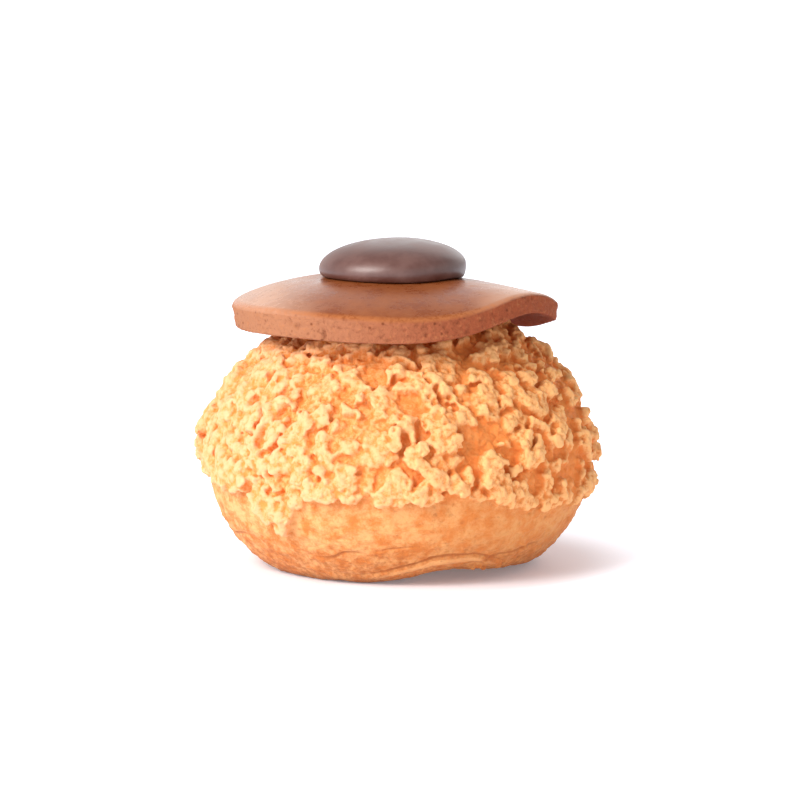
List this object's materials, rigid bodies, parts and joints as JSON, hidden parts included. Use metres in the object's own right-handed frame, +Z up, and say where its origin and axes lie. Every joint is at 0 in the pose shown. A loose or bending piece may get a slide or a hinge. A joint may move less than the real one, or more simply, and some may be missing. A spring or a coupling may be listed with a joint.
{
  "type": "cream puff",
  "caption": "Round choux bun with a cracked sugar crust, under a draped disc of milk chocolate paste and a dark chocolate drop; rests on its flat underside.",
  "frame": {"origin": "middle of the bun's flat underside, on the surface that the puff stands on", "axes": "+Z up through the chocolate drop, -Y towards the side that shows best, +X to the right seen from there"},
  "size_m": [0.0498, 0.0508, 0.0405],
  "materials": {
    "crust": "dry baked choux and sugar crust, matte",
    "milk_chocolate": "milk chocolate paste, dull sheen on top, crumbly cut edge",
    "dark_chocolate": "dark chocolate, satin"
  },
  "bodies": {
    "root": {"bun": "crust", "chocolate_disc": "milk_chocolate", "chocolate_drop": "dark_chocolate"}
  },
  "joints": []
}
